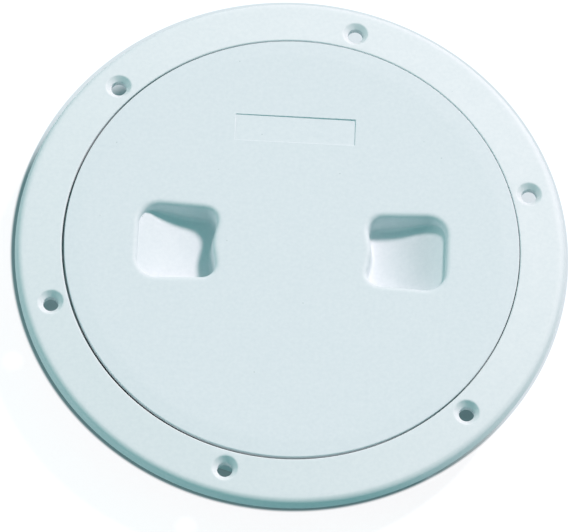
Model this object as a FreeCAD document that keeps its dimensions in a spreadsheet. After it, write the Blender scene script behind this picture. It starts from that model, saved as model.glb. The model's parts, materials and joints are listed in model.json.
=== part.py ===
import FreeCAD, Part
import math
import os
import re

import Sketcher

# Deck inspection plate: a mounting ring that screws to a deck, a lid that
# screws into its collar, and the flat rubber ring that seals the lid.
# Frame: +Z up and out of the deck, z = 0 on the deck (the flange's underside),
# +X through the two finger recesses of the closed lid. Millimetres and degrees.

doc = FreeCAD.newDocument("deck_plate")

# How near an edge or a corner must lie to count as the one that is looked for
CLOSE = 0.001

# Driving dimensions
SIZES = [
    ("flange_width", 18.25),
    ("flange_step", 0.1),
    ("flange_fall", 1.2),
    ("flange_wall", 2.4),
    ("shoulder_width", 1.8),
    ("shoulder_fall", 0.8),
    ("bevel_width", 1.9),
    ("rim_wall", 1.6),
    ("overlap", 0.4),
    ("rib_width", 1.6),
    ("collar_inset", 2.25),
    ("collar_wall", 2.4),
    ("collar_depth", 20.0),
    ("screw_inset", 6.55),
    ("screw_count", 6),
    ("screw_phase", 17.0),
    ("screw_bore_radius", 2.75),
    ("screw_sink_radius", 4.65),
    ("screw_sink_depth", 2.1),
    ("screw_boss_wall", 2.8),
    ("pockets_between", 3),
    ("lid_top", 5.5),
    ("lid_radius", 82.75),
    ("lid_thickness", 2.5),
    ("lid_gap", 0.5),
    ("skirt_wall", 2.5),
    ("skirt_short", 1.5),
    ("lid_rib_height", 3.6),
    ("lid_rib_count", 6),
    ("thread_pitch", 5.0),
    ("thread_turns", 1.0),
    ("thread_height", 1.6),
    ("thread_crest", 1.3),
    ("thread_root", 2.9),
    ("thread_play", 0.4),
    ("thread_flank_gap", 0.3),
    ("thread_sink", 0.5),
    ("thread_top", 4.5),
    ("seal_thickness", 1.2),
    ("seal_inset", 0.45),
    ("seal_gap", 0.15),
    ("recess_inner", 25.8),
    ("recess_waist", 28.8),
    ("recess_outer", 56.1),
    ("recess_inner_half", 13.4),
    ("recess_outer_half", 14.9),
    ("recess_inner_corner", 5.5),
    ("recess_outer_corner", 7.5),
    ("recess_waist_round", 10.0),
    ("recess_draft", 5.0),
    ("recess_depth", 10.2),
    ("recess_shallow", 2.3),
    ("recess_flat", 30.1),
    ("recess_floor_break", 0.9),
    ("recess_mouth_break", 0.9),
    ("cup_wall", 2.4),
    ("panel_length", 44.0),
    ("panel_height", 10.5),
    ("panel_depth", 0.4),
    ("panel_offset", 46.7),
    ("panel_shift", -0.7),
]

# Sizes that follow from the driving ones
FOLLOWING = [
    ("opening_radius", "lid_radius + lid_gap"),
    ("flange_radius", "opening_radius + flange_width"),
    ("screw_circle_radius", "opening_radius + screw_inset"),
    ("collar_radius", "opening_radius - collar_inset"),
    ("flange_top", "lid_top - flange_step"),
    ("bevel_radius", "flange_radius - bevel_width"),
    ("shoulder_radius", "bevel_radius - shoulder_width"),
    ("shoulder_top", "flange_top - flange_fall"),
    ("bevel_top", "shoulder_top - shoulder_fall"),
    ("flange_slope", "flange_fall / (shoulder_radius - opening_radius)"),
    ("channel_inner", "opening_radius + flange_wall"),
    ("channel_outer", "bevel_radius - rim_wall"),
    ("pocket_roof", "shoulder_top - flange_wall"),
    ("lid_under", "lid_top - lid_thickness"),
    ("cup_top", "lid_under + overlap"),
    ("seal_top", "lid_under - seal_gap"),
    ("seal_bottom", "seal_top - seal_thickness"),
    ("ledge_top", "seal_bottom - seal_gap"),
    ("bore_radius", "collar_radius - collar_wall"),
    ("ring_crest", "bore_radius - thread_height"),
    ("lid_crest", "bore_radius - thread_play"),
    ("skirt_radius", "lid_crest - thread_height"),
    ("skirt_inner", "skirt_radius - skirt_wall"),
    ("skirt_end", "skirt_short - collar_depth"),
    ("seal_inner", "skirt_radius + seal_gap"),
    ("seal_outer", "lid_radius - seal_inset"),
    ("ring_thread_start", "0 - thread_top - thread_turns * thread_pitch"),
    ("flank_width", "thread_crest + (thread_root - thread_crest) * (lid_crest - ring_crest) "
                    "/ (2 * thread_height)"),
    ("lid_thread_start", "ring_thread_start - flank_width - thread_flank_gap"),
    ("thread_foot", "thread_root + (thread_root - thread_crest) * thread_sink / thread_height"),
    ("screw_surface", "flange_top - flange_slope * (screw_circle_radius - opening_radius)"),
    ("screw_land", "screw_bore_radius + screw_boss_wall"),
    ("pocket_half", "pi * channel_inner / (screw_count * pockets_between) "
                    "- screw_land / pockets_between - rib_width / 2"),
    ("pocket_flare", "channel_outer / channel_inner"),
    ("pocket_step", "(360 / screw_count - 360 * screw_land / (pi * screw_circle_radius)) / pockets_between"),
    ("screw_x", "screw_circle_radius * cos(screw_phase)"),
    ("screw_y", "screw_circle_radius * sin(screw_phase)"),
    ("sink_spread", "screw_sink_radius - screw_bore_radius"),
    ("recess_floor", "lid_top - recess_depth"),
    ("recess_rise", "recess_depth - recess_shallow"),
    ("recess_run", "recess_outer - recess_flat"),
    ("floor_radius", "(recess_run * recess_run + recess_rise * recess_rise) / (2 * recess_rise)"),
]

sheet = doc.addObject("Spreadsheet::Sheet", "sizes")
for row, (alias, number) in enumerate(SIZES + FOLLOWING, start=1):
    sheet.set("A%d" % row, alias)
    text = str(number) if isinstance(number, (int, float)) else "=" + number
    sheet.set("B%d" % row, text)
    sheet.setAlias("B%d" % row, alias)
doc.recompute()


ALIASES = {alias for alias, number in SIZES + FOLLOWING}


def cell(text):
    """The same expression, with each size looked up in the sheet."""
    return re.sub("[a-z_]+", lambda word: "sizes." + word[0] if word[0] in ALIASES else word[0], text)


def value(text):
    """The present value of an expression in sizes."""
    return float(sheet.evalExpression(cell(text)))


def bind(item, place, text):
    """Ties one property of an object to the sheet."""
    item.setExpression(place, cell(text))


# Sketches


def new_body(name):
    return doc.addObject("PartDesign::Body", name)


def origin_plane(body, role):
    for feature in body.Origin.OriginFeatures:
        if feature.Role == role:
            return feature
    raise RuntimeError("no origin feature " + role)


def new_sketch(body, name, role, height="0"):
    """A sketch on one of the body's own planes, raised by an expression."""
    sketch = body.newObject("Sketcher::SketchObject", name)
    sketch.AttachmentSupport = [(origin_plane(body, role), "")]
    sketch.MapMode = "FlatFace"
    if height != "0":
        bind(sketch, "AttachmentOffset.Base.z", height)
    return sketch


def pin_length(sketch, kind, geometry, end, text):
    """Ties one coordinate of a point of the sketch to the sheet."""
    index = sketch.addConstraint(Sketcher.Constraint(kind, -1, 1, geometry, end, value(text)))
    sketch.setExpression("Constraints[%d]" % index, cell(text))


def pin_point(sketch, geometry, end, across, up):
    """Fixes a point of the sketch at two expressions; 0 puts it on the axis."""
    for kind, text, axis in (("DistanceX", across, -2), ("DistanceY", up, -1)):
        if text == "0":
            sketch.addConstraint(Sketcher.Constraint("PointOnObject", geometry, end, axis))
        else:
            pin_length(sketch, kind, geometry, end, text)


def draw_polygon(sketch, corners):
    """A closed outline whose corners are pairs of expressions."""
    count = len(corners)
    points = [FreeCAD.Vector(value(across), value(up), 0) for across, up in corners]
    for index in range(count):
        sketch.addGeometry(Part.LineSegment(points[index], points[(index + 1) % count]), False)
    for index in range(count):
        sketch.addConstraint(Sketcher.Constraint("Coincident", index, 2, (index + 1) % count, 1))
    for index, (across, up) in enumerate(corners):
        pin_point(sketch, index, 1, across, up)


# Features


def compare(feature, before, grows):
    """Stops if a feature left the volume as it was, or changed it the wrong way."""
    change = feature.Shape.Volume - before.Volume
    if (change > 0) != grows or abs(change) < 1:
        raise RuntimeError("%s changed the volume by %.1f" % (feature.Label, change))


def turn_up(body, name, sketch, kind="PartDesign::Revolution"):
    """Revolves a sketch a full turn about its own upright axis."""
    feature = body.newObject(kind, name)
    feature.Profile = sketch
    feature.ReferenceAxis = (sketch, ["V_Axis"])
    feature.Angle = 360
    return feature


def repeat_round(body, name, feature, count):
    """Repeats a feature evenly round the body's Z axis."""
    pattern = body.newObject("PartDesign::PolarPattern", name)
    pattern.Originals = [feature]
    pattern.Axis = (origin_plane(body, "Z_Axis"), [""])
    pattern.Angle = 360
    bind(pattern, "Occurrences", count)
    body.Tip = pattern
    doc.recompute()


def add_thread(body, name, sketch):
    """Sweeps a ridge section up a right-handed helix about the Z axis."""
    before = body.Shape
    ridge = body.newObject("PartDesign::AdditiveHelix", name)
    ridge.Profile = sketch
    ridge.ReferenceAxis = (sketch, ["V_Axis"])
    ridge.Mode = "pitch-turns-angle"
    bind(ridge, "Pitch", "thread_pitch")
    bind(ridge, "Turns", "thread_turns")
    ridge.Angle = 0
    ridge.LeftHanded = False
    ridge.Reversed = False
    body.Tip = ridge
    doc.recompute()
    compare(ridge, before, True)


def round_edges(body, name, feature, edges, radius):
    fillet = body.newObject("PartDesign::Fillet", name)
    fillet.Base = (feature, edges)
    bind(fillet, "Radius", radius)
    body.Tip = fillet
    doc.recompute()
    return fillet


def break_edges(body, name, feature, edges, width):
    chamfer = body.newObject("PartDesign::Chamfer", name)
    chamfer.Base = (feature, edges)
    bind(chamfer, "Size", width)
    body.Tip = chamfer
    doc.recompute()
    return chamfer


# Mounting ring


def ring_turned(body):
    """Flange, seal seat and collar, turned in one."""
    section = new_sketch(body, "ring_section", "XZ_Plane")
    draw_polygon(section, [
        ("collar_radius", "0"),
        ("flange_radius", "0"),
        ("bevel_radius", "bevel_top"),
        ("shoulder_radius", "shoulder_top"),
        ("opening_radius", "flange_top"),
        ("opening_radius", "ledge_top"),
        ("bore_radius", "ledge_top"),
        ("bore_radius", "0 - collar_depth"),
        ("collar_radius", "0 - collar_depth"),
    ])
    turn_up(body, "ring_turned", section)
    doc.recompute()


def ring_pockets(body):
    """Cored pockets under the flange: ribs part them, and each screw keeps a solid land."""
    between = round(value("pockets_between"))
    for number in range(between):
        name = "pocket_%d" % (number + 1)
        outline = new_sketch(body, name + "_outline", "XY_Plane")
        draw_polygon(outline, [
            ("channel_inner", "0 - pocket_half"),
            ("channel_outer", "0 - pocket_half * pocket_flare"),
            ("channel_outer", "pocket_half * pocket_flare"),
            ("channel_inner", "pocket_half"),
        ])
        shift = number - (between - 1) / 2
        bind(outline, "AttachmentOffset.Rotation.Angle",
             "screw_phase + 180 / screw_count + pocket_step * (%s)" % shift)
        before = body.Shape
        pocket = body.newObject("PartDesign::Pocket", name)
        pocket.Profile = outline
        pocket.Reversed = True
        bind(pocket, "Length", "pocket_roof")
        body.Tip = pocket
        doc.recompute()
        compare(pocket, before, False)
        repeat_round(body, name + "_round", pocket, "screw_count")


def ring_screw_holes(body):
    """Countersunk screw holes through the flange, revolved about their own axes."""
    sketch = new_sketch(body, "screw_section", "XZ_Plane")
    bind(sketch, "AttachmentOffset.Base.x", "screw_x")
    bind(sketch, "AttachmentOffset.Base.z", "0 - screw_y")
    draw_polygon(sketch, [
        ("0", "0 - overlap"),
        ("screw_bore_radius", "0 - overlap"),
        ("screw_bore_radius", "screw_surface - screw_sink_depth"),
        ("screw_sink_radius + sink_spread", "screw_surface + screw_sink_depth"),
        ("0", "screw_surface + screw_sink_depth"),
    ])
    before = body.Shape
    hole = turn_up(body, "screw_hole", sketch, "PartDesign::Groove")
    body.Tip = hole
    doc.recompute()
    compare(hole, before, False)
    repeat_round(body, "screw_holes", hole, "screw_count")


def thread_sketch(body, name, root, crest, middle):
    """A ridge section whose root lies inside the wall it grows from."""
    sketch = new_sketch(body, name, "XZ_Plane")
    draw_polygon(sketch, [
        (root, middle + " - thread_foot / 2"),
        (crest, middle + " - thread_crest / 2"),
        (crest, middle + " + thread_crest / 2"),
        (root, middle + " + thread_foot / 2"),
    ])
    return sketch


def make_ring():
    body = new_body("mounting_ring")
    ring_turned(body)
    ring_pockets(body)
    ring_screw_holes(body)
    ridge = thread_sketch(body, "ring_thread_section", "bore_radius + thread_sink",
                          "ring_crest", "ring_thread_start")
    add_thread(body, "ring_thread", ridge)
    return body


# Lid


def lid_turned(body):
    """Disc and skirt, turned in one."""
    section = new_sketch(body, "lid_section", "XZ_Plane")
    draw_polygon(section, [
        ("0", "lid_under"),
        ("skirt_inner", "lid_under"),
        ("skirt_inner", "skirt_end"),
        ("skirt_radius", "skirt_end"),
        ("skirt_radius", "lid_under"),
        ("lid_radius", "lid_under"),
        ("lid_radius", "lid_top"),
        ("0", "lid_top"),
    ])
    turn_up(body, "lid_turned", section)
    doc.recompute()


def lid_ribs(body):
    """Radial ribs that stiffen the disc underneath and meet in its middle."""
    sketch = new_sketch(body, "lid_rib_sketch", "XY_Plane", "lid_under - lid_rib_height")
    draw_polygon(sketch, [
        ("0 - rib_width / 2", "0 - rib_width / 2"),
        ("skirt_inner + overlap", "0 - rib_width / 2"),
        ("skirt_inner + overlap", "rib_width / 2"),
        ("0 - rib_width / 2", "rib_width / 2"),
    ])
    rib = body.newObject("PartDesign::Pad", "lid_rib")
    rib.Profile = sketch
    bind(rib, "Length", "lid_rib_height + overlap")
    doc.recompute()
    repeat_round(body, "lid_ribs", rib, "lid_rib_count")


def lid_panel(body):
    """The shallow bare panel sunk in the top."""
    sketch = new_sketch(body, "panel_sketch", "XY_Plane", "lid_top")
    draw_polygon(sketch, [
        ("panel_shift - panel_length / 2", "panel_offset - panel_height / 2"),
        ("panel_shift + panel_length / 2", "panel_offset - panel_height / 2"),
        ("panel_shift + panel_length / 2", "panel_offset + panel_height / 2"),
        ("panel_shift - panel_length / 2", "panel_offset + panel_height / 2"),
    ])
    before = body.Shape
    panel = body.newObject("PartDesign::Pocket", "panel")
    panel.Profile = sketch
    bind(panel, "Length", "panel_depth")
    body.Tip = panel
    doc.recompute()
    compare(panel, before, False)


def upright_edges(shape, corner, top):
    """Names of the straight slanted edges whose upper end stands at this corner."""
    found = []
    for number, edge in enumerate(shape.Edges, start=1):
        ends = [vertex.Point for vertex in edge.Vertexes]
        if len(ends) != 2 or abs(ends[0].z - ends[1].z) < CLOSE:
            continue
        upper = max(ends, key=lambda point: point.z)
        if abs(upper.z - top) < CLOSE and math.dist(corner, (upper.x, upper.y)) < CLOSE:
            found.append("Edge%d" % number)
    return found


def draw_below_floor(sketch, wall):
    """Everything under the recess floor, or under the cup's floor with its wall added."""
    level = "recess_floor - " + wall
    under = level + " - recess_depth"
    beyond = "recess_outer + %s + overlap" % wall
    centre = FreeCAD.Vector(value("recess_flat"), value("recess_floor + floor_radius"), 0)
    radius = value("floor_radius + " + wall)
    climb = math.asin((value(beyond) - centre.x) / radius)
    circle = Part.Circle(centre, FreeCAD.Vector(0, 0, 1), radius)
    rise = Part.ArcOfCircle(circle, -math.pi / 2, climb - math.pi / 2)
    middle = FreeCAD.Vector(0, value(level), 0)
    outside = FreeCAD.Vector(value(beyond), value(under), 0)
    below = FreeCAD.Vector(0, value(under), 0)
    sketch.addGeometry(Part.LineSegment(middle, rise.StartPoint), False)
    sketch.addGeometry(rise, False)
    for start, end in ((rise.EndPoint, outside), (outside, below), (below, middle)):
        sketch.addGeometry(Part.LineSegment(start, end), False)
    for index in range(5):
        sketch.addConstraint(Sketcher.Constraint("Coincident", index, 2, (index + 1) % 5, 1))
    pin_point(sketch, 0, 1, "0", level)
    pin_point(sketch, 1, 1, "recess_flat", level)
    pin_point(sketch, 1, 3, "recess_flat", "recess_floor + floor_radius")
    pin_length(sketch, "DistanceX", 1, 2, beyond)
    pin_point(sketch, 3, 1, beyond, under)
    pin_point(sketch, 3, 2, "0", under)


def floor_edges(shape):
    """Names of the edges where the recess floor meets the walls."""
    flat = value("recess_flat")
    radius = value("floor_radius")
    centre = value("recess_floor + floor_radius")

    def on_floor(point):
        run = max(point.x - flat, 0)
        return abs(centre - math.sqrt(radius ** 2 - run ** 2) - point.z) < CLOSE

    found = []
    for number, edge in enumerate(shape.Edges, start=1):
        points = edge.discretize(5)
        seam = all(abs(point.x - flat) < CLOSE for point in points)
        if all(on_floor(point) for point in points) and not seam:
            found.append("Edge%d" % number)
    return found


def recess_block(name, wall, top):
    """The room of one finger recess, or with a wall added the cup round it.

    The outline is waisted towards the middle of the lid and flares outwards; the
    floor runs level under the fingertips and then rises in an arc.
    """
    body = new_body(name)
    outline = new_sketch(body, name + "_outline", "XY_Plane", top)
    draw_polygon(outline, [
        ("recess_outer + " + wall, "recess_outer_half + " + wall),
        ("recess_inner - " + wall, "recess_inner_half + " + wall),
        ("recess_waist - " + wall, "0"),
        ("recess_inner - " + wall, "0 - recess_inner_half - " + wall),
        ("recess_outer + " + wall, "0 - recess_outer_half - " + wall),
    ])
    block = body.newObject("PartDesign::Pad", name + "_block")
    block.Profile = outline
    block.Reversed = True
    bind(block, "Length", "recess_depth + cup_wall + cup_wall")
    bind(block, "TaperAngle", "0 - recess_draft")
    body.Tip = block
    doc.recompute()

    rounded = block
    for end, across in (("outer", "recess_outer + " + wall), ("inner", "recess_inner - " + wall)):
        half = value("recess_%s_half + %s" % (end, wall))
        edges = upright_edges(rounded.Shape, (value(across), half), value(top))
        edges += upright_edges(rounded.Shape, (value(across), -half), value(top))
        radius = "recess_%s_corner + %s" % (end, wall)
        rounded = round_edges(body, "%s_%s_corners" % (name, end), rounded, edges, radius)
    waist = upright_edges(rounded.Shape, (value("recess_waist - " + wall), 0), value(top))
    rounded = round_edges(body, name + "_waist", rounded, waist, "recess_waist_round")

    sketch = new_sketch(body, name + "_floor_sketch", "XZ_Plane")
    draw_below_floor(sketch, wall)
    floor = body.newObject("PartDesign::Pocket", name + "_floor")
    floor.Profile = sketch
    floor.Type = "ThroughAll"
    floor.Midplane = True
    body.Tip = floor
    doc.recompute()
    compare(floor, rounded.Shape, False)
    return body


def recess_room(name):
    """The room cut out of the lid, with the corner at its floor broken."""
    body = recess_block(name, "0", "lid_top")
    floor = body.Tip
    break_edges(body, name + "_floor_edge", floor, floor_edges(floor.Shape), "recess_floor_break")
    return body


def mouth_edges(shape):
    """Names of the edges round the recess mouths, in the lid's top face."""
    top = value("lid_top")
    inner = value("recess_inner - overlap")
    outer = value("recess_outer + overlap")
    half = value("recess_outer_half + overlap")
    found = []
    for number, edge in enumerate(shape.Edges, start=1):
        points = edge.discretize(5)
        level = all(abs(point.z - top) < CLOSE for point in points)
        if level and all(inner < abs(point.x) < outer and abs(point.y) < half for point in points):
            found.append("Edge%d" % number)
    return found


def make_lid():
    """The disc with its thread, the two cups fused under it and their rooms cut out."""
    body = new_body("lid")
    lid_turned(body)
    lid_ribs(body)
    lid_panel(body)
    ridge = thread_sketch(body, "lid_thread_section", "skirt_radius - thread_sink",
                          "lid_crest", "lid_thread_start")
    add_thread(body, "lid_thread", ridge)
    cups = []
    rooms = []
    for side, turn in (("right", 0), ("left", 180)):
        cups.append(recess_block("cup_" + side, "cup_wall", "cup_top"))
        rooms.append(recess_room("room_" + side))
        about = FreeCAD.Rotation(FreeCAD.Vector(0, 0, 1), turn)
        cups[-1].Placement = FreeCAD.Placement(FreeCAD.Vector(), about)
        rooms[-1].Placement = FreeCAD.Placement(FreeCAD.Vector(), about)
    for name, kind, tools in (("cups", "Fuse", cups), ("rooms", "Cut", rooms)):
        before = body.Shape
        joined = body.newObject("PartDesign::Boolean", name)
        joined.Type = kind
        joined.setObjects(tools)
        body.Tip = joined
        doc.recompute()
        compare(joined, before, kind == "Fuse")
    break_edges(body, "recess_mouths", joined, mouth_edges(joined.Shape), "recess_mouth_break")
    return body


# Seal


def make_seal():
    """The flat rubber ring under the lid's rim, stretched over the skirt."""
    body = new_body("seal_ring")
    section = new_sketch(body, "seal_section", "XZ_Plane")
    draw_polygon(section, [
        ("seal_inner", "seal_bottom"),
        ("seal_outer", "seal_bottom"),
        ("seal_outer", "seal_top"),
        ("seal_inner", "seal_top"),
    ])
    turn_up(body, "seal_turned", section)
    doc.recompute()
    return body


# The three pieces, checked and written out

pieces = [make_ring(), make_seal(), make_lid()]

for item in doc.Objects:
    if "Invalid" in item.State or "Error" in item.State:
        raise RuntimeError("%s failed: %s" % (item.Label, item.State))
for piece in pieces:
    shape = piece.Shape
    if shape.isNull() or not shape.isValid() or len(shape.Solids) != 1:
        raise RuntimeError("%s is not one valid solid" % piece.Label)

os.makedirs("parts", exist_ok=True)
for piece in pieces:
    piece.Shape.exportStep("parts/%s.step" % piece.Label)
    print("%s: %.1f cubic centimetres" % (piece.Label, piece.Shape.Volume / 1000))
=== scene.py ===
# %% [markdown]
# # A round deck inspection plate
#
# The object is a hatch for the deck of a small boat. A wide mounting ring is screwed
# down over a hole, and a threaded lid closes it. Both are moulded in cool white plastic.
# A flat rubber ring seals them. This lesson builds the three pieces as they come out of
# their moulds, gives them their finishes, and lights them as in a studio.
#
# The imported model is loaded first. It says where every piece stands and which body it
# moves with, and its box is kept, because the looks may not change the size.

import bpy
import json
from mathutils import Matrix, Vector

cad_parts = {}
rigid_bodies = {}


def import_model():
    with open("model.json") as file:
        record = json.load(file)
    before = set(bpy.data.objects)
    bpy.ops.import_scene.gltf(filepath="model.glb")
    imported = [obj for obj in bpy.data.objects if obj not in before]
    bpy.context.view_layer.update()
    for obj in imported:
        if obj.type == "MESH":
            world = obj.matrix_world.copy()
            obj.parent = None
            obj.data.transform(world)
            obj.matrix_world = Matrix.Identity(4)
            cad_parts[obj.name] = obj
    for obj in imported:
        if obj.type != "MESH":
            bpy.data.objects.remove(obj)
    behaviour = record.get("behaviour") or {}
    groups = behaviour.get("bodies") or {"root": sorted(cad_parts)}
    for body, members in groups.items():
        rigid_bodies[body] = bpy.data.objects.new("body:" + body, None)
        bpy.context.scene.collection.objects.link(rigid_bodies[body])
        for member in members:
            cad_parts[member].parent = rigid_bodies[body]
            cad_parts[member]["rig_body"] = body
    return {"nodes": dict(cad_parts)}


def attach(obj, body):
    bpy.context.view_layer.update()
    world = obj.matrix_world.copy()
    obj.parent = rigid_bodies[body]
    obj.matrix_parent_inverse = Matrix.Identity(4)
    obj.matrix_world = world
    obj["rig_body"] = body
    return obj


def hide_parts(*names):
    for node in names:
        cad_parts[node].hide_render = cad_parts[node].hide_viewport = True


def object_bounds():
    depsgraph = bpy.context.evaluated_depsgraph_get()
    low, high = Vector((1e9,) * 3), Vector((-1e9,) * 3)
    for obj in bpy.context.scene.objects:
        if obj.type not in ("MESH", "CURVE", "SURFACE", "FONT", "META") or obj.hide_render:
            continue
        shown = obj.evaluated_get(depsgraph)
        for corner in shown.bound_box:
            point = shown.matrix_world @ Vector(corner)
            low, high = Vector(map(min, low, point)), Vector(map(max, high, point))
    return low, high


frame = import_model()
cad_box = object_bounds()

print("nodes:", sorted(frame["nodes"]))
print("box of the packed model:", cad_box)

# %% [markdown]
# ## Millimetres and metres
#
# A drawing of such a plate is in millimetres, but the frame is in metres. Each piece is
# modelled in millimetres, where the numbers are easy to read, and scaled once when it
# becomes an object. An object could also be scaled by its own scale, but then every
# pattern and bevel on it would be scaled with it.

# %% Tools of the workshop
import json
import math

import bmesh
import bpy
from mathutils import Matrix, Vector

MM = 0.001
ORIGIN = Vector((0, 0, 0))
UP = Vector((0, 0, 1))


def only(kind, items):
    """The vertices, edges or faces among what an operator has made."""
    return [item for item in items if isinstance(item, kind)]


print("one millimetre is", MM, "of a metre")

# %% [markdown]
# ## White plastic
#
# The plate is moulded in ABS with a satin skin. Seen close, its white is not even: the
# skin is faintly mottled and carries a few tiny specks. A picture of plastic could be
# wrapped round it, but noise on the object's own coordinates has no seams and stays
# sharp at any size. One noise tints the colour, one roughens the gloss, and the finest
# one lifts the skin by a few thousandths of a millimetre.
#
# The helpers come first, each of them for one step of a material. Most of what a noise
# gives lies in the middle of its range, so that part is what gets spread out.

# %% Material helpers
NOISE_LOW, NOISE_HIGH = 0.3, 0.7


def new_material(name):
    """An empty node material, its node tree and its surface shader."""
    material = bpy.data.materials.new(name)
    material.use_nodes = True
    tree = material.node_tree
    return material, tree, tree.nodes["Principled BSDF"]


def noise(tree, coordinates, scale, detail):
    """A noise on the object's own coordinates; scale counts its features in a metre."""
    node = tree.nodes.new("ShaderNodeTexNoise")
    node.inputs["Scale"].default_value = scale
    node.inputs["Detail"].default_value = detail
    tree.links.new(coordinates, node.inputs["Vector"])
    return node.outputs["Fac"]


def ramp(tree, value, start, end, low, high):
    """Turns the range from start to end into the one from low to high."""
    node = tree.nodes.new("ShaderNodeMapRange")
    limits = {"From Min": start, "From Max": end, "To Min": low, "To Max": high}
    for name, limit in limits.items():
        node.inputs[name].default_value = limit
    tree.links.new(value, node.inputs["Value"])
    return node


def spread(tree, value, low, high):
    """Maps the middle part of a noise onto a range."""
    return ramp(tree, value, NOISE_LOW, NOISE_HIGH, low, high).outputs["Result"]


print("noise can be made and spread over a range")

# %% [markdown]
# A noise has to do something on the surface. It can choose between two colours, and it
# can lift the skin. Relief this fine could be true geometry, but that takes millions of
# faces. A bump only bends the light, which is enough for a few thousandths of a
# millimetre.

# %% Colour and bump
def blend_colours(tree, factor, first, second):
    """A colour between two others, each of them a value or a socket."""
    node = tree.nodes.new("ShaderNodeMix")
    node.data_type = "RGBA"
    tree.links.new(factor, node.inputs["Factor"])
    for socket, colour in ((node.inputs["A"], first), (node.inputs["B"], second)):
        if isinstance(colour, tuple):
            socket.default_value = (*colour, 1)
        else:
            tree.links.new(colour, socket)
    return node.outputs["Result"]


def add_bump(tree, shader, height, depth):
    """Lifts the skin of a surface by up to this many metres."""
    bump = tree.nodes.new("ShaderNodeBump")
    bump.inputs["Strength"].default_value = 1
    bump.inputs["Distance"].default_value = depth
    tree.links.new(height, bump.inputs["Height"])
    tree.links.new(bump.outputs["Normal"], shader.inputs["Normal"])


print("noise can choose a colour and lift a skin")

# %% [markdown]
# The ring's white is painted the least bit lighter and warmer than the lid's: painted
# light, standing in for the brighter light on its sloping flange. Two materials could be
# drawn up one after the other, but here one function makes both and a tint sets them apart,
# so that mottle and gloss stay alike.
#
# The specks are the middles of the cells in a Voronoi pattern. Its distance grows from
# nought at each middle, so a low limit on it leaves only a tiny dot in each cell.

# %% The satin white of the mouldings
WHITE_LOW = (0.682, 0.744, 0.771)
WHITE_HIGH = (0.718, 0.776, 0.799)
# painted light: the ring's white is lifted a little to stand in for more light on its
# flange
RING_PAINTED_LIGHT = (1.06, 1.04, 1.03)
SPECK = (0.42, 0.50, 0.50)
SPECK_CORE, SPECK_EDGE, SPECK_STRENGTH = 0.012, 0.022, 0.6
MOTTLE_SCALE, CELL_SCALE, GLOSS_SCALE, GRAIN_SCALE = 700, 70, 160, 1900
WHITE_ROUGH_LOW, WHITE_ROUGH_HIGH = 0.58, 0.68
GRAIN_HEIGHT = 0.000006


def white_plastic(name, tint):
    """The satin white; tint makes its red, green and blue stronger or weaker, as painted
    light or shade.
    """
    material, tree, shader = new_material(name)
    place = tree.nodes.new("ShaderNodeTexCoord").outputs["Object"]
    mottle = spread(tree, noise(tree, place, MOTTLE_SCALE, 3), 0, 1)
    low, high = (tuple(part * share for part, share in zip(white, tint))
                 for white in (WHITE_LOW, WHITE_HIGH))
    colour = blend_colours(tree, mottle, low, high)

    cells = tree.nodes.new("ShaderNodeTexVoronoi")
    cells.inputs["Scale"].default_value = CELL_SCALE
    tree.links.new(place, cells.inputs["Vector"])
    speck = ramp(tree, cells.outputs["Distance"], SPECK_CORE, SPECK_EDGE, SPECK_STRENGTH, 0)
    colour = blend_colours(tree, speck.outputs["Result"], colour, SPECK)
    tree.links.new(colour, shader.inputs["Base Color"])

    gloss = noise(tree, place, GLOSS_SCALE, 4)
    tree.links.new(spread(tree, gloss, WHITE_ROUGH_LOW, WHITE_ROUGH_HIGH),
                   shader.inputs["Roughness"])
    shader.inputs["IOR"].default_value = 1.5
    shader.inputs["Specular IOR Level"].default_value = 0.35
    add_bump(tree, shader, noise(tree, place, GRAIN_SCALE, 2), GRAIN_HEIGHT)
    return material


lid_white = white_plastic("satin_white_lid", (1, 1, 1))
# painted light: a lighter, warmer copy of the same white for the ring
ring_white_painted_light = white_plastic("satin_white_ring_painted_lighter", RING_PAINTED_LIGHT)
print("made", lid_white.name, "and", ring_white_painted_light.name)

# %% [markdown]
# ## Black rubber
#
# The seal is cut from rubber tube on a lathe. Its skin is matt and dark, with the fine
# turned lines of the knife running round it. A noise squeezed flat along the axis gives
# such lines: a Mapping node stretches the coordinates, so that the noise changes fast
# up the ring and slowly round it.

# %% The rubber of the seal
RUBBER_DARK = (0.018, 0.018, 0.019)
RUBBER_DUSTY = (0.036, 0.037, 0.038)
LINE_SQUEEZE = (1, 1, 30)
LINE_SCALE, DUST_SCALE = 220, 500
RUBBER_ROUGH_LOW, RUBBER_ROUGH_HIGH = 0.62, 0.8
LINE_HEIGHT = 0.00002


def seal_rubber():
    """Matt black rubber with dust on it and the lines of the lathe round it."""
    material, tree, shader = new_material("matt_black_rubber")
    place = tree.nodes.new("ShaderNodeTexCoord").outputs["Object"]
    squeeze = tree.nodes.new("ShaderNodeMapping")
    squeeze.inputs["Scale"].default_value = LINE_SQUEEZE
    tree.links.new(place, squeeze.inputs["Vector"])
    lines = noise(tree, squeeze.outputs["Vector"], LINE_SCALE, 2)
    dust = spread(tree, noise(tree, place, DUST_SCALE, 5), 0, 1)
    tree.links.new(blend_colours(tree, dust, RUBBER_DARK, RUBBER_DUSTY),
                   shader.inputs["Base Color"])
    tree.links.new(spread(tree, dust, RUBBER_ROUGH_LOW, RUBBER_ROUGH_HIGH),
                   shader.inputs["Roughness"])
    add_bump(tree, shader, lines, LINE_HEIGHT)
    return material


rubber = seal_rubber()
print("made", rubber.name, "with", len(rubber.node_tree.nodes), "nodes")

# %% [markdown]
# ## Sections that are turned round the axis
#
# A mould for a round part is cut on a lathe, and so is the model: a section is drawn
# once and spun round the axis. The section is drawn with sharp corners, as on paper, and
# each corner is then rounded by bevelling its vertex. That gives true arcs without
# working any out.

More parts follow.
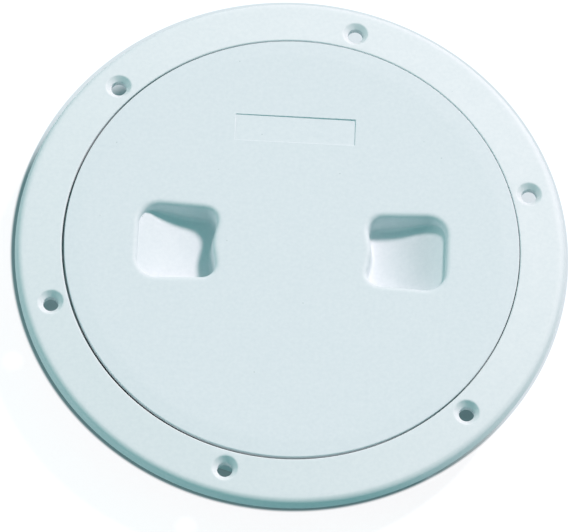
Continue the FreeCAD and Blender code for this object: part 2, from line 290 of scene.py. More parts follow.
# %% Drawing a section
def draw_section(bm, corners, closed):
    """Joins (radius, height, rounding) corners in the XZ plane and rounds them."""
    points = [bm.verts.new((radius, 0, height)) for radius, height, rounding in corners]
    following = points[1:] + points[:1] if closed else points[1:]
    for start, end in zip(points, following):
        bm.edges.new((start, end))
    for point, (radius, height, rounding) in zip(points, corners):
        if rounding:
            round_corner(bm, point, rounding)


def round_corner(bm, point, radius, segments=4):
    """Rounds the corner where two edges meet with an arc of this radius."""
    first, second = [edge.other_vert(point).co - point.co for edge in point.link_edges]
    reach = radius / math.tan(first.angle(second) / 2)
    bmesh.ops.bevel(bm, geom=[point], offset=reach, offset_type="OFFSET", affect="VERTICES",
                    segments=segments, profile=0.5, material=-1)


def longest_near(bm, radius, height):
    """The edge of a section whose middle lies nearest to a place."""
    place = Vector((radius, 0, height))
    return min(bm.edges, key=lambda e: ((e.verts[0].co + e.verts[1].co) / 2 - place).length)


def rotated(bm, degrees):
    """Turns a mesh round the axis and gives it back."""
    bmesh.ops.rotate(bm, cent=ORIGIN, matrix=Matrix.Rotation(math.radians(degrees), 3, "Z"),
                     verts=bm.verts)
    return bm


def spin(bm, angle, steps, lift=0, copies=False):
    """Spins everything round the axis; lift is how far each step climbs."""
    bmesh.ops.spin(bm, geom=bm.verts[:] + bm.edges[:] + bm.faces[:], cent=ORIGIN, axis=UP,
                   dvec=(0, 0, lift), angle=math.radians(angle), steps=steps,
                   use_merge=angle == 360 and not lift, use_duplicate=copies)


print("a section can be drawn, rounded, turned and spun")

# %% [markdown]
# ## The mounting ring: one sixth
#
# The ring is one moulding: a wide flange that slopes gently outwards, a rounded shoulder
# and a steep rim, a sunk seat for the lid, and the collar that goes down through the
# deck. Six screws hold it, so the ring repeats itself six times. One sixth is spun with a
# single screw hole in its middle and then repeated. That is less work than six holes,
# and all six come out the same.
#
# The long edge on the flange's top and the one under it are cut into short pieces before
# the spin, so that the screw hole finds a fine grid of faces to stand in.

# %% The section of the ring
COLLAR_OUTSIDE, COLLAR_INSIDE, COLLAR_FOOT = 81, 78.6, -20
OPENING, FLANGE_TOP, SEAT = 83.25, 5.4, 1.5
SHOULDER, SHOULDER_HEIGHT, RIM_FOOT = 98.85, 3.72, 100.3
POCKETS_INNER, POCKETS_OUTER = 85.65, 98
RING_CORNERS = [
    (COLLAR_OUTSIDE, 0, 0.5),
    (POCKETS_INNER, 0, 0),
    (POCKETS_OUTER, 0, 0),
    (RIM_FOOT, 0, 0.15),
    (SHOULDER, SHOULDER_HEIGHT, 2.5),
    (OPENING, FLANGE_TOP, 0.5),
    (OPENING, SEAT, 0.4),
    (COLLAR_INSIDE, SEAT, 0.4),
    (COLLAR_INSIDE, COLLAR_FOOT, 0.5),
    (COLLAR_OUTSIDE, COLLAR_FOOT, 0.5),
]
TOP_MIDDLE = (90, 4.8)
UNDER_MIDDLE = (91.8, 0)
SIXTH = 60
SIXTH_STEPS = 80
HOLE_SIDE = 12

ring = bmesh.new()
draw_section(ring, RING_CORNERS, closed=True)
for middle in (TOP_MIDDLE, UNDER_MIDDLE):
    long_edge = longest_near(ring, *middle)
    bmesh.ops.subdivide_edges(ring, edges=[long_edge], cuts=HOLE_SIDE - 1)
spin(rotated(ring, -SIXTH / 2), SIXTH, SIXTH_STEPS)
bmesh.ops.recalc_face_normals(ring, faces=ring.faces)
print("one sixth of the ring has", len(ring.faces), "faces")

# %% [markdown]
# ## The screw holes
#
# A hole could be cut out with a boolean, but that leaves a ragged mesh that shades
# badly. Here a square patch of faces is taken out of the flange instead, and its rim is
# drawn in to a circle, loop by loop. The loops of the mouth lie on the sloping flange or
# a given way below it, so the mouth is even all round.
#
# The edges of the patch are gathered in a dict, which keeps their order. A set of mesh
# parts would come out in another order at each run.

# %% Opening a patch and drawing in its rim
SCREW_CIRCLE = 89.8
FLANGE_SLOPE = (FLANGE_TOP - SHOULDER_HEIGHT) / (SHOULDER - OPENING)
PATCH_HALF_ANGLE = 4.5
screw_axis = Vector((SCREW_CIRCLE, 0, 0))


def bearing(place):
    """The angle of a place round the axis, in degrees."""
    return math.degrees(math.atan2(place.y, place.x))


def rim_of(faces):
    """The edges round a patch: each of them borders one face of the patch only."""
    patch = set(faces)
    edges = dict.fromkeys(edge for face in faces for edge in face.edges)
    return [edge for edge in edges if sum(face in patch for face in edge.link_faces) == 1]


def open_patch(bm, heights, radii):
    """Takes out the faces between two heights and two radii, and gives the rim left."""
    def inside(face):
        """Tells whether the middle of a face lies in the patch."""
        place = face.calc_center_median()
        return (heights[0] < place.z < heights[1]
                and radii[0] < place.xy.length < radii[1]
                and abs(bearing(place)) < PATCH_HALF_ANGLE)

    patch = [face for face in bm.faces if inside(face)]
    rim = rim_of(patch)
    bmesh.ops.delete(bm, geom=patch, context="FACES")
    return rim


def flange_height(x, y):
    """How high the sloping top of the flange is at a place."""
    return FLANGE_TOP - FLANGE_SLOPE * (math.hypot(x, y) - OPENING)


def draw_in(bm, rim, radius, height):
    """Extrudes a rim and lays it on a circle round the screw's axis."""
    made = bmesh.ops.extrude_edge_only(bm, edges=rim)["geom"]
    for vert in only(bmesh.types.BMVert, made):
        out = (vert.co - screw_axis).xy.normalized() * radius
        x, y = SCREW_CIRCLE + out.x, out.y
        vert.co = (x, y, height(x, y))
    return only(bmesh.types.BMEdge, made)


print("the flange is", round(flange_height(SCREW_CIRCLE, 0), 2), "mm high at the screws")

# %% [markdown]
# From the outside in, a hole has a soft mouth, a cone for the sunk head of the screw, and
# a straight bore with its upper edge broken. The mouth is an arc of six loops that ends
# as steep as the cone. The same patch is opened in the underside and drawn in to the
# bore, and the two openings are bridged.

# %% Cutting one screw hole
TOP_PATCH = ((4, 6), (83.6, 96.9))
FOOT_PATCH = ((-1, 0.1), (POCKETS_INNER, POCKETS_OUTER))
MOUTH, MOUTH_ROUND, MOUTH_STEPS = 5.8, 0.9, 5
SINK, SINK_DEPTH = 4.65, 2.1
BORE, BORE_ROUND, FOOT_BREAK = 2.75, 0.25, 0.2

lean = math.atan2(SINK_DEPTH, SINK - BORE)
start = SINK + MOUTH_ROUND * math.tan(lean / 2)
hole = draw_in(ring, open_patch(ring, *TOP_PATCH), MOUTH, flange_height)
for step in range(MOUTH_STEPS + 1):
    tilt = lean * step / MOUTH_STEPS
    drop = MOUTH_ROUND * (1 - math.cos(tilt))
    hole = draw_in(ring, hole, start - MOUTH_ROUND * math.sin(tilt),
                   lambda x, y: flange_height(x, y) - drop)

cone_foot = flange_height(SCREW_CIRCLE, 0) - SINK_DEPTH
for outward, upward in ((1 / 2, 1 / 2), (1 / 6, 0), (0, -1 / 2)):
    hole = draw_in(ring, hole, BORE + BORE_ROUND * outward,
                   lambda x, y: cone_foot + BORE_ROUND * upward)

foot = draw_in(ring, open_patch(ring, *FOOT_PATCH), BORE + FOOT_BREAK, lambda x, y: 0)
foot = draw_in(ring, foot, BORE, lambda x, y: FOOT_BREAK)
bmesh.ops.bridge_loops(ring, edges=hole + foot)
print("the screw hole brings the sixth to", len(ring.faces), "faces")

# %% [markdown]
# ## Six sixths make the ring
#
# The sixth is repeated round the axis and its seams are merged. Under the flange the
# moulding is cored out into shallow pockets, three between each two screws, because a
# thick flange would sink as it cools. An inset with a depth does that: it draws the
# pocket's floor in a little, as the draft of a mould does, and pushes it up.

# %% Repeat the sixth and core the pockets
SCREW_PHASE = 17
POCKET_ROOF, POCKET_DRAFT = 1.8, 0.08
POCKET_SPANS = ((4.5, 20.25), (21.75, 38.25), (39.75, 55.5))
NEAR = 0.01

spin(ring, 360 - SIXTH, 360 // SIXTH - 1, copies=True)
bmesh.ops.remove_doubles(ring, verts=ring.verts, dist=NEAR)


def in_pocket(face):
    """Tells whether a face of the flange's underside lies where a pocket is cored."""
    place = face.calc_center_median()
    turn = bearing(place) % SIXTH
    between = POCKETS_INNER < place.xy.length < POCKETS_OUTER and abs(place.z) < NEAR
    return between and any(low < turn < high for low, high in POCKET_SPANS)


bmesh.ops.recalc_face_normals(ring, faces=ring.faces)
pocket_faces = [face for face in ring.faces if in_pocket(face)]
bmesh.ops.inset_region(ring, faces=pocket_faces, thickness=POCKET_DRAFT,
                       depth=-POCKET_ROOF, use_even_offset=True)
rotated(ring, SCREW_PHASE)
print("the ring has", len(ring.faces), "faces,", len(pocket_faces), "of them in pockets")

# %% [markdown]
# ## A thread
#
# The lid screws into the collar by one coarse turn of thread, moulded on as a ridge. The
# screw modifier would wind it, but the same spin does it too, if each step also climbs a
# little. A moulded thread doesn't end in a wall: it runs out, so the ridge sinks back
# towards the wall at its two ends.

# %% Winding a thread
PITCH = 5
RIDGE_FOOT, RIDGE_CREST, CREST_ROUND = 3.4, 1.3, 0.35
THREAD_TURN, THREAD_STEPS = 359.99, 240
RUN_OUT, RUN_OUT_LEAST = 14, 0.04


def wind_thread(root, crest, middle):
    """One turn of ridge, from its root inside a wall out to its crest."""
    bm = bmesh.new()
    draw_section(bm, [
        (root, middle - RIDGE_FOOT / 2, 0),
        (crest, middle - RIDGE_CREST / 2, CREST_ROUND),
        (crest, middle + RIDGE_CREST / 2, CREST_ROUND),
        (root, middle + RIDGE_FOOT / 2, 0),
    ], closed=True)
    spin(bm, THREAD_TURN, THREAD_STEPS, lift=PITCH / THREAD_STEPS)
    for vert in bm.verts:
        turn = bearing(vert.co) % 360
        left = min(1, min(turn, 360 - turn) / RUN_OUT)
        fade = RUN_OUT_LEAST + (1 - RUN_OUT_LEAST) * left * left * (3 - 2 * left)
        radius = root + (vert.co.xy.length - root) * fade
        vert.co.xy = vert.co.xy.normalized() * radius
    bmesh.ops.holes_fill(bm, edges=bm.edges, sides=0)
    bmesh.ops.recalc_face_normals(bm, faces=bm.faces)
    return bm


def add_to(bm, other):
    """Puts another mesh into this one and frees it."""
    mesh = bpy.data.meshes.new("passing")
    other.to_mesh(mesh)
    bm.from_mesh(mesh)
    bpy.data.meshes.remove(mesh)
    other.free()


add_to(ring, wind_thread(root=79.1, crest=77, middle=-9.5))
print("with its thread the ring has", len(ring.faces), "faces")

# %% [markdown]
# ## From a mesh to a piece
#
# Every piece is finished in the same way. Its doubles are merged and its faces turned
# outwards, it is scaled to metres, and it is shaded smooth with its true corners kept
# sharp. Weighted normals then let the large faces lead, so that a flat face looks flat
# right up to its rounded edge. Last, the piece is tied to the body it moves with and
# stands in for its plain solid.

# %% Finishing a piece
SHARP_ANGLE = 38
HAIR = 0.001


def finish_piece(bm, name, node, body, material):
    """Makes a mesh in millimetres a finished piece that stands in for a solid."""
    bmesh.ops.remove_doubles(bm, verts=bm.verts, dist=HAIR)
    bmesh.ops.recalc_face_normals(bm, faces=bm.faces)
    bmesh.ops.scale(bm, vec=(MM, MM, MM), verts=bm.verts)
    mesh = bpy.data.meshes.new(name)
    bm.to_mesh(mesh)
    bm.free()
    mesh.shade_smooth()
    mesh.set_sharp_from_angle(angle=math.radians(SHARP_ANGLE))
    mesh.materials.append(material)
    piece = bpy.data.objects.new(name, mesh)
    bpy.context.scene.collection.objects.link(piece)
    weights = piece.modifiers.new("even_shading", "WEIGHTED_NORMAL")
    weights.keep_sharp = True
    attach(piece, body)
    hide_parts(node)
    size = [round(side / MM, 2) for side in piece.dimensions]
    print(name, "has", len(mesh.polygons), "faces and measures", size, "mm")


body_of = {node: item["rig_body"] for node, item in frame["nodes"].items()}
finish_piece(ring, "ring_moulding", "mounting_ring", body_of["mounting_ring"],
             ring_white_painted_light)

# %% [markdown]
# ## The lid: rim and skirt
#
# The lid is a disc that lies flush in the ring, with a skirt under it that carries the
# thread. Its outermost band falls away very slightly. The rim and the skirt are spun from
# one open section, which leaves a round opening in the top and one in the underside. The
# flat parts come later, when it is known what else opens into them.

# %% The section of the lid's rim
LID_RADIUS, BAND_START = 82.75, 76.5
LID_TOP, LID_EDGE, LID_UNDER = 5.5, 5.25, 3
SKIRT_OUTSIDE, SKIRT_INSIDE, SKIRT_FOOT = 76.6, 74.1, -18.5
TOP_OPENING, UNDER_OPENING = 74, 73
LID_CORNERS = [
    (TOP_OPENING, LID_TOP, 0),
    (BAND_START, LID_TOP, 40),
    (LID_RADIUS, LID_EDGE, 0.45),
    (LID_RADIUS, LID_UNDER, 0.4),
    (SKIRT_OUTSIDE, LID_UNDER, 0.5),
    (SKIRT_OUTSIDE, SKIRT_FOOT, 0.8),
    (SKIRT_INSIDE, SKIRT_FOOT, 0.5),
    (SKIRT_INSIDE, LID_UNDER, 0.6),
    (UNDER_OPENING, LID_UNDER, 0),
]
LID_STEPS = 480

lid = bmesh.new()
draw_section(lid, LID_CORNERS, closed=False)
spin(lid, 360, LID_STEPS)
print("the rim and skirt have", len(lid.faces), "faces")

# %% [markdown]
# ## The finger recesses
#
# These are the heart of the lid: two fingers go in to turn it. Each recess is waisted
# towards the middle, level under the fingertips, and rises in an arc towards the rim.
# Seen from below, each one is a cup.
#
# Such a form could be sculpted or cut with a boolean. Here its outline is drawn as one
# face, which is sunk in the cell after this. The waist is a corner that points into the
# outline and is rounded like the others. The long sides are cut into short pieces, which
# the rising floor will need.

# %% Drawing the outline of a recess
RECESS_INNER, RECESS_WAIST, RECESS_OUTER = 25.8, 28.8, 56.1
RECESS_INNER_HALF, RECESS_OUTER_HALF = 13.4, 14.9
INNER_ROUND, WAIST_ROUND, OUTER_ROUND = 5.5, 10, 7.5
LONG_SIDE, SIDE_CUTS = 15, 14


def recess_outline(bm, wider, height):
    """The waisted outline as one face; wider moves it out on every side."""
    inner, outer = RECESS_INNER - wider, RECESS_OUTER + wider
    inner_half, outer_half = RECESS_INNER_HALF + wider, RECESS_OUTER_HALF + wider
    corners = [
        (outer, outer_half, OUTER_ROUND + wider),
        (inner, inner_half, INNER_ROUND + wider),
        (RECESS_WAIST - wider, 0, WAIST_ROUND),
        (inner, -inner_half, INNER_ROUND + wider),
        (outer, -outer_half, OUTER_ROUND + wider),
    ]
    points = [bm.verts.new((x, y, height)) for x, y, rounding in corners]
    bm.faces.new(points)
    for point, (x, y, rounding) in zip(points, corners):
        round_corner(bm, point, rounding, segments=10)
    sides = [edge for edge in bm.edges if edge.calc_length() > LONG_SIDE]
    bmesh.ops.subdivide_edges(bm, edges=sides, cuts=SIDE_CUTS)


trial = bmesh.new()
recess_outline(trial, 0, LID_TOP)
print("the outline is", len(trial.faces), "face with", len(trial.verts), "corners")
trial.free()

# %% [markdown]
# A mould has no sharp step: the top rolls over into the recess, the wall leans a little
# so that the moulding lets go, and the foot of the wall is round. One face could be
# extruded and its edges bevelled, but a wide bevel can fold over itself in the tight
# corners. A chain of insets is safer. Each one draws the face in and down to the next
# point of a path, and the path is an arc, a straight line and an arc again. It starts
# with a flat border, which gives the arc an even strip to roll over from.

# %% Sinking a face with soft edges
BORDER = 0.8
DRAFT = 5
ARC_STEPS, WALL_STEPS = 5, 4


def sink_path(lip, depth, foot):
    """How far in and down each inset goes, and how deep the rounded lip is."""
    steep = math.radians(90 - DRAFT)
    path = [(BORDER, 0)]
    for step in range(1, ARC_STEPS + 1):
        tilt = steep * step / ARC_STEPS
        path.append((BORDER + lip * math.sin(tilt), lip * (1 - math.cos(tilt))))
    lip_inward, lip_down = path[-1]

    wall = depth - (lip + foot) * (1 - math.cos(steep))
    for step in range(1, WALL_STEPS + 1):
        down = wall * step / WALL_STEPS
        path.append((lip_inward + down * math.tan(math.radians(DRAFT)), lip_down + down))
    wall_inward, wall_down = path[-1]

    for step in range(1, ARC_STEPS + 1):
        tilt = steep * (1 - step / ARC_STEPS)
        path.append((wall_inward + foot * (math.sin(steep) - math.sin(tilt)),
                     wall_down + foot * (math.cos(tilt) - math.cos(steep))))
    return path, lip_down


def sink(bm, lip, depth, foot):
    """Sinks all the faces of a mesh: a rounded lip, a leaning wall and a rounded foot."""
    faces = bm.faces[:]
    path, lip_down = sink_path(lip, depth, foot)
    inward, down = 0, 0
    for next_inward, next_down in path:
        bmesh.ops.inset_region(bm, faces=faces, thickness=next_inward - inward,
                               depth=down - next_down, use_even_offset=True,
                               use_boundary=True)
        inward, down = next_inward, next_down
    return lip_down


print("a face is sunk in", len(sink_path(1.9, 10, 1.5)[0]), "insets")

# %% [markdown]
# The floor of a recess is level under the fingertips and then rises in an arc. Insets
# alone can't make that: they leave the form equally deep everywhere. It could be bent
# with a lattice, but the arc is known, so each height is simply set. For that the flat
# floor is first sliced into strips, which can follow the arc. Where the recess gets
# shallow, its leaning wall gets narrower too.

# %% The rising floor
FLOOR = -4.7
FLOOR_FLAT = 30.1
FLOOR_RADIUS = 46.74
ARC_LIMIT = 0.95
ONE_SIDE = 7
ON_SLICE = 0.02


def at_level(vert, level):
    """Tells whether a vertex lies at this height."""
    return abs(vert.co.z - level) < NEAR


def floor_height(x, wall):
    """The height of the recess floor, or with a wall under it the foot of the cup."""
    if x < FLOOR_FLAT:
        return FLOOR - wall
    radius = FLOOR_RADIUS + wall
    run = min(x - FLOOR_FLAT, ARC_LIMIT * radius)
    return FLOOR + FLOOR_RADIUS - math.sqrt(radius ** 2 - run ** 2)


def slice_floor(bm, level):
    """Slices the flat floor across at every corner of one of its long sides."""
    corners = [vert for vert in bm.verts if at_level(vert, level)]
    for across in sorted({round(vert.co.x, 2) for vert in corners if vert.co.y > ONE_SIDE}):
        flat = [face for face in bm.faces if all(at_level(v, level) for v in face.verts)]
        around = dict.fromkeys(part for face in flat for part in (*face.verts, *face.edges))
        bmesh.ops.bisect_plane(bm, geom=flat + list(around), plane_co=(across, 0, 0),
                               plane_no=(1, 0, 0), dist=ON_SLICE)


def draw_walls_out(bm, level, wall):
    """Narrows the wall and foot of a recess where the recess gets shallow."""
    for top in [vert for vert in bm.verts if at_level(vert, level)]:
        share = (level - floor_height(top.co.x, wall)) / (level - FLOOR + wall)
        below = [top]
        while below:
            vert = below[0]
            if vert is not top:
                vert.co.xy = top.co.xy + (vert.co.xy - top.co.xy) * share
            below = [edge.other_vert(vert) for edge in vert.link_edges
                     if edge.other_vert(vert).co.z < vert.co.z - HAIR]


shallow = LID_TOP - floor_height(RECESS_OUTER, 0)
print("a recess is", LID_TOP - FLOOR, "mm deep, and", round(shallow, 2), "at its outer end")

# %% [markdown]
# The room of a recess and the cup round it are the same form twice, one a wall's
# thickness outside the other. They could be one shell with a thickness, but the room
# opens into the top of the lid and the cup into its underside, with different lips. So
# one function makes both, each from its own level. The heights below the lip are squeezed
# towards the outer end, so that the strips follow the arc. The cup's faces look into the
# cup until the whole lid, once it is closed, has its faces turned outwards.

# %% A whole recess
OUTLINE_ON_LIP = 0.92


def recess_form(start, wall, lip, foot):
    """A recess room, or the cup a wall outside it, that hangs down from a level."""
    bm = bmesh.new()
    depth = start - FLOOR + wall
    recess_outline(bm, wall + BORDER + lip * OUTLINE_ON_LIP, start)
    bmesh.ops.recalc_face_normals(bm, faces=bm.faces)
    if bm.faces[:][0].normal.z < 0:
        bmesh.ops.reverse_faces(bm, faces=bm.faces)
    level = start - sink(bm, lip, depth, foot)
    draw_walls_out(bm, level, wall)
    slice_floor(bm, start - depth)
    for vert in bm.verts:
        if vert.co.z < level:
            share = (level - vert.co.z) / (level - FLOOR + wall)
            vert.co.z = level - share * (level - floor_height(vert.co.x, wall))
    return bm


def open_edges(bm):
    """The edges of a mesh that border one face only."""
    return [edge for edge in bm.edges if edge.is_boundary]


trial = recess_form(LID_TOP, wall=0, lip=1.9, foot=1.5)
print("a recess has", len(trial.faces), "faces and", len(open_edges(trial)), "open edges")
trial.free()

# %% [markdown]
# ## Setting the recesses into the lid
#
# The two rooms open into the top and the two cups into the underside. The left one is
# the right one turned half round. A shallow bare panel is sunk into the top above them in
# the same way. It was pressed a little askew, so it is deepest at its far right and
# almost level with the lid at its near left.
#
# Then only two flat faces with holes are missing, and they are filled with triangles
# between the open rims. They are flat, so no shading can go wrong in them.

# %% Rooms, cups and panel
CUP_WALL = 2.4
PANEL_LENGTH, PANEL_HEIGHT, PANEL_DEPTH = 44, 10.5, 0.4
PANEL_X, PANEL_Y = -0.7, 46.7
PANEL_ROUND, PANEL_CORNER, PANEL_BORDER = 0.1, 1.2, 0.9
PANEL_SHARE, LEAN_ALONG, LEAN_ACROSS = 0.85, 0.3, 0.35


def bare_panel():
    """The shallow panel near the far edge of the lid's top."""
    bm = bmesh.new()
    half_length = PANEL_LENGTH / 2 + PANEL_BORDER
    half_height = PANEL_HEIGHT / 2 + PANEL_BORDER
    points = [bm.verts.new((x * half_length + PANEL_X, y * half_height + PANEL_Y, LID_TOP))
              for x, y in ((-1, -1), (1, -1), (1, 1), (-1, 1))]
    bm.faces.new(points)
    for point in points:
        round_corner(bm, point, PANEL_CORNER, segments=4)
    sink(bm, PANEL_ROUND, PANEL_DEPTH, PANEL_ROUND)
    for vert in bm.verts:
        share = (PANEL_SHARE + LEAN_ALONG * (vert.co.x - PANEL_X) / half_length
                 + LEAN_ACROSS * (vert.co.y - PANEL_Y) / half_height)
        vert.co.z = LID_TOP - (LID_TOP - vert.co.z) * share
    return bm


for half_turn in (0, 180):
    room = recess_form(LID_TOP, wall=0, lip=1.9, foot=1.5)
    cup = recess_form(LID_UNDER, wall=CUP_WALL, lip=0.8, foot=2)
    add_to(lid, rotated(room, half_turn))
    add_to(lid, rotated(cup, half_turn))
add_to(lid, bare_panel())

for level in (LID_TOP, LID_UNDER):
    rims = [edge for edge in open_edges(lid) if at_level(edge.verts[0], level)]
    bmesh.ops.triangle_fill(lid, edges=rims, use_beauty=True, normal=UP)
    print("the flat face at", level, "mm closes", len(rims), "open edges")
print("open edges left:", len(open_edges(lid)))

# %% [markdown]
# ## Ribs and thread of the lid
#
# Six thin ribs run from the middle of the underside to the skirt and keep the disc
# stiff. The two that meet the cups stop in their walls and go on behind them. Each rib is
# a cube that is stretched to its size, and its lower edges are bevelled, as no mould
# leaves them sharp.
#
# The lid has half a millimetre of play in its opening and rarely lies in the middle of
# it. So the finished lid is moved by most of that, to the far right.

# %% Ribs
RIB_WIDTH, RIB_DEPTH, RIB_ROOT, RIB_ROUND = 1.6, 3.6, 0.4, 0.4
CUP_NEAR, CUP_FAR, SKIRT_WALL = 28, 57.3, 74.6
LID_REST = (0.26, 0.3, 0)


def rib(start, end, degrees):
    """A rib under the disc, from one radius to another, turned to its place."""
    bm = bmesh.new()
    bmesh.ops.create_cube(bm, size=1)
    bmesh.ops.scale(bm, vec=(end - start, RIB_WIDTH, RIB_DEPTH + RIB_ROOT), verts=bm.verts)
    middle = LID_UNDER + RIB_ROOT / 2 - RIB_DEPTH / 2
    bmesh.ops.translate(bm, vec=((start + end) / 2, 0, middle), verts=bm.verts)
    low = [edge for edge in bm.edges if max(v.co.z for v in edge.verts) < middle]
    bmesh.ops.bevel(bm, geom=low, offset=RIB_ROUND, offset_type="OFFSET", affect="EDGES",
                    segments=3, profile=0.5, material=-1)
    return rotated(bm, degrees)


for degrees in (0, 180):
    add_to(lid, rib(0, CUP_NEAR, degrees))
    add_to(lid, rib(CUP_FAR, SKIRT_WALL, degrees))
for degrees in (60, 120, 240, 300):
    add_to(lid, rib(0, SKIRT_WALL, degrees))
add_to(lid, wind_thread(root=76.1, crest=78.2, middle=-11.7))
bmesh.ops.translate(lid, vec=LID_REST, verts=lid.verts)
finish_piece(lid, "lid_moulding", "lid", body_of["lid"], lid_white)

# %% [markdown]
# ## The seal
#
# A flat rubber ring lies in the seat of the mounting ring, under the edge of the lid.
# Its section is a low rectangle with the corners just broken, spun all the way round.

# %% The seal ring
SEAL_INNER, SEAL_OUTER, SEAL_LOW, SEAL_HIGH = 76.75, 82.3, 1.65, 2.85
SEAL_ROUND = 0.2
SEAL_STEPS = 240

seal = bmesh.new()
draw_section(seal, [
    (SEAL_INNER, SEAL_LOW, SEAL_ROUND),
    (SEAL_OUTER, SEAL_LOW, SEAL_ROUND),
    (SEAL_OUTER, SEAL_HIGH, SEAL_ROUND),
    (SEAL_INNER, SEAL_HIGH, SEAL_ROUND),
], closed=True)
spin(seal, 360, SEAL_STEPS)
finish_piece(seal, "seal_band", "seal_ring", body_of["seal_ring"], rubber)

# %% [markdown]
# ## Floor and background
#
# The plate stands on its collar on a pale floor. The picture wants a white ground with a
# narrow shadow. Turning the lamps up until the floor burns out would spoil the plate too.
# Instead the floor glows, but only for rays that come from the eye, from a reflection or
# through glass: the light that falls on the plate doesn't change. The Light Path node
# knows the kind of each ray, and Math nodes put its answers together.

# %% Which rays are seen
def maths(tree, operation, first, second):
    """One step of arithmetic on two sides, each of them a number or a socket."""
    node = tree.nodes.new("ShaderNodeMath")
    node.operation = operation
    for socket, side in zip(node.inputs, (first, second)):
        if isinstance(side, bpy.types.NodeSocket):
            tree.links.new(side, socket)
        else:
            socket.default_value = side
    return node.outputs[0]


def seen_rays(tree):
    """One for rays from the camera, from a gloss or through glass, else nought."""
    path = tree.nodes.new("ShaderNodeLightPath").outputs
    seen = maths(tree, "MAXIMUM", path["Is Camera Ray"], path["Is Glossy Ray"])
    return maths(tree, "MAXIMUM", seen, path["Is Transmission Ray"])


print("a material can tell which rays are seen")

# %% [markdown]
# A floor that glowed under the plate as well would shine up through the screw holes and
# drown the shadow beside the rim. So two round masks dim the glow there, and their circles
# paint where that shadow lies and how sharp its edge is: painted shadow over the lamps'
# real one. The first leaves almost nothing of the glow under the plate. Its circle lies a
# little behind the plate, because that is where the eye sees the edge of the plate against
# the lower floor. The second gives some of the glow back at the far right, as painted light
# where light gets in below the rim.

# %% The floor
FLOOR_SIZE = 3
FLOOR_COLOUR = (0.36, 0.47, 0.5, 1)
GLOW_COLOUR = (1, 0.91, 0.91, 1)
FLOOR_GLOW = 0.9
# painted shadow and painted light: circles where the floor's glow is dimmed under the plate
# and partly given back at the far right
PAINTED_SHADOW_UNDER_PLATE = {"centre": (0, 9, -20), "inner": 101.6, "outer": 102.8,
               "least": 0.05, "most": 1}
PAINTED_LIGHT_FAR_RIGHT = {"centre": (-14, -10, -20), "inner": 92, "outer": 104,
                   "least": 0, "most": 0.4}


def round_mask(tree, centre, inner, outer, least, most):
    """Least inside a circle on the floor, and most outside a wider one."""
    place = tree.nodes.new("ShaderNodeTexCoord").outputs["Object"]
    away = tree.nodes.new("ShaderNodeVectorMath")
    away.operation = "DISTANCE"
    away.inputs[1].default_value = [side * MM for side in centre]
    tree.links.new(place, away.inputs[0])
    fade = ramp(tree, away.outputs["Value"], inner * MM, outer * MM, least, most)
    fade.interpolation_type = "SMOOTHSTEP"
    return fade.outputs["Result"]


floor_bm = bmesh.new()
bmesh.ops.create_grid(floor_bm, x_segments=1, y_segments=1, size=FLOOR_SIZE)
bmesh.ops.translate(floor_bm, vec=(0, 0, cad_box[0][2]), verts=floor_bm.verts)
floor_mesh = bpy.data.meshes.new("studio_floor")
floor_bm.to_mesh(floor_mesh)
floor_bm.free()
floor = bpy.data.objects.new("studio_floor", floor_mesh)
bpy.context.scene.collection.objects.link(floor)

paper, paper_tree, paper_shader = new_material("pale_paper")
paper_shader.inputs["Base Color"].default_value = FLOOR_COLOUR
paper_shader.inputs["Roughness"].default_value = 0.9
paper_shader.inputs["Specular IOR Level"].default_value = 0
paper_shader.inputs["Emission Color"].default_value = GLOW_COLOUR
# painted shadow and light: the two masks decide where the floor glows
clear = maths(paper_tree, "MAXIMUM", round_mask(paper_tree, **PAINTED_SHADOW_UNDER_PLATE),
              round_mask(paper_tree, **PAINTED_LIGHT_FAR_RIGHT))
glow = maths(paper_tree, "MULTIPLY", seen_rays(paper_tree), FLOOR_GLOW)
paper_tree.links.new(maths(paper_tree, "MULTIPLY", clear, glow),
                     paper_shader.inputs["Emission Strength"])
floor_mesh.materials.append(paper)
print("the floor lies at", round(cad_box[0][2] / MM, 2), "mm")

# %% [markdown]
# ## The world
#
# The light of the room comes evenly from all sides and fills the shadows. It is a clear
# blue-green, which gives the white plastic its cool shadows. The eye should see a white
# room behind the plate all the same. A coloured backdrop could hide the world, but a
# second background in the world itself costs no object: a Mix Shader takes the white one
# for the rays that are seen and the blue-green one for those that only bring light.

# %% The world
AMBIENT = (0.29, 0.95, 0.94, 1)
AMBIENT_LEVEL = 0.37
WHITE = (1, 1, 1, 1)

world = bpy.data.worlds.new("studio")
bpy.context.scene.world = world
world.use_nodes = True
sky = world.node_tree
ambient = sky.nodes["Background"]
ambient.inputs["Color"].default_value = AMBIENT
ambient.inputs["Strength"].default_value = AMBIENT_LEVEL
backdrop = sky.nodes.new("ShaderNodeBackground")
backdrop.inputs["Color"].default_value = WHITE
backdrop.inputs["Strength"].default_value = 1
choose = sky.nodes.new("ShaderNodeMixShader")
sky.links.new(seen_rays(sky), choose.inputs[0])
sky.links.new(ambient.outputs[0], choose.inputs[1])
sky.links.new(backdrop.outputs[0], choose.inputs[2])
sky.links.new(choose.outputs[0], sky.nodes["World Output"].inputs["Surface"])
print("the world gives light of", AMBIENT_LEVEL, "and looks white")

# %% [markdown]
# ## Lamps
#
# Two soft lamps light the plate. The key lamp stands to the upper right, about as steep
# as the afternoon sun, and draws the shadows in the recesses and the screw holes. It is
# rosy, because the light of the room is blue-green: where both fall, they add up to a
# nearly plain white. The second lamp is weak and stands low on the left, like a window.
# It lifts the steep rim on that side, which the key lamp doesn't reach.

# %% The key lamp and the window
KEY_COLOUR = (1, 0.78, 0.805)
WINDOW_COLOUR = (1, 0.97, 0.97)


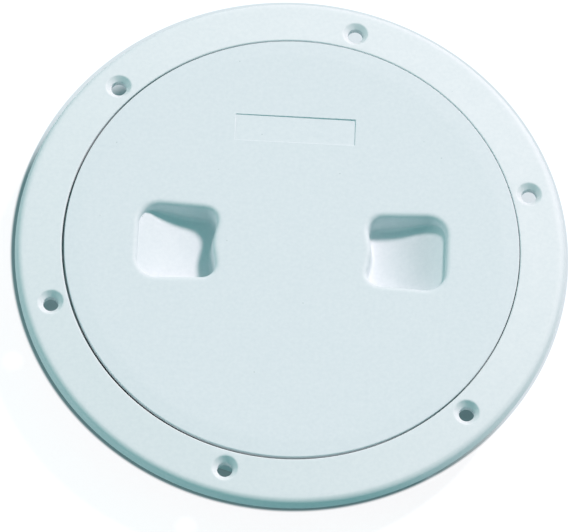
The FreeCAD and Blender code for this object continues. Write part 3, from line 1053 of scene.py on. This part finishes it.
def soft_lamp(name, azimuth, elevation, distance, size, power, colour):
    """A round lamp that looks at the plate from a bearing, a height and a distance."""
    lamp = bpy.data.lights.new(name, "AREA")
    lamp.shape = "DISK"
    lamp.size = size
    lamp.energy = power
    lamp.color = colour
    holder = bpy.data.objects.new(name, lamp)
    bpy.context.scene.collection.objects.link(holder)
    turn, lift = math.radians(azimuth), math.radians(elevation)
    toward = Vector((math.cos(turn) * math.cos(lift), math.sin(turn) * math.cos(lift),
                     math.sin(lift)))
    holder.location = toward * distance
    holder.rotation_euler = toward.to_track_quat("Z", "Y").to_euler()
    place = [round(side, 2) for side in holder.location]
    print(name, "shines with", power, "W from", place)


soft_lamp("key_lamp", azimuth=46, elevation=49, distance=10, size=1.75, power=1058,
          colour=KEY_COLOUR)
soft_lamp("window", azimuth=178, elevation=12, distance=10, size=2.5, power=210,
          colour=WINDOW_COLOUR)

# %% [markdown]
# ## The camera
#
# The picture is taken from above, with the eye some two and a half metres away, as a
# product shot is. A long lens keeps the far side of the ring as wide as the near one.
# The camera is placed by the angle it looks from, turned until it looks back at the
# plate, and rolled a little.

# %% Camera
AIM = Vector((-0.323, -7.725, 5.5)) * MM
AZIMUTH, ELEVATION, ROLL = -2.088, 65.819, 4.824
DISTANCE = 2.5
LENS, SENSOR = 429.0, 36

camera = bpy.data.cameras.new("camera")
camera.sensor_fit = "HORIZONTAL"
camera.sensor_width = SENSOR
camera.lens = LENS
camera.clip_end = 20
eye = bpy.data.objects.new("camera", camera)
bpy.context.scene.collection.objects.link(eye)
turn, lift = math.radians(AZIMUTH), math.radians(ELEVATION)
back = Vector((math.sin(turn) * math.cos(lift), -math.cos(turn) * math.cos(lift),
               math.sin(lift)))
eye.location = AIM + back * DISTANCE
roll = Matrix.Rotation(math.radians(ROLL), 3, "Z")
eye.rotation_euler = (back.to_track_quat("Z", "Y").to_matrix() @ roll).to_euler()
bpy.context.scene.camera = eye
bpy.context.scene.view_settings.view_transform = "Standard"
print("the picture is", round(SENSOR / LENS * DISTANCE / MM, 1), "mm wide at the plate")

# %% [markdown]
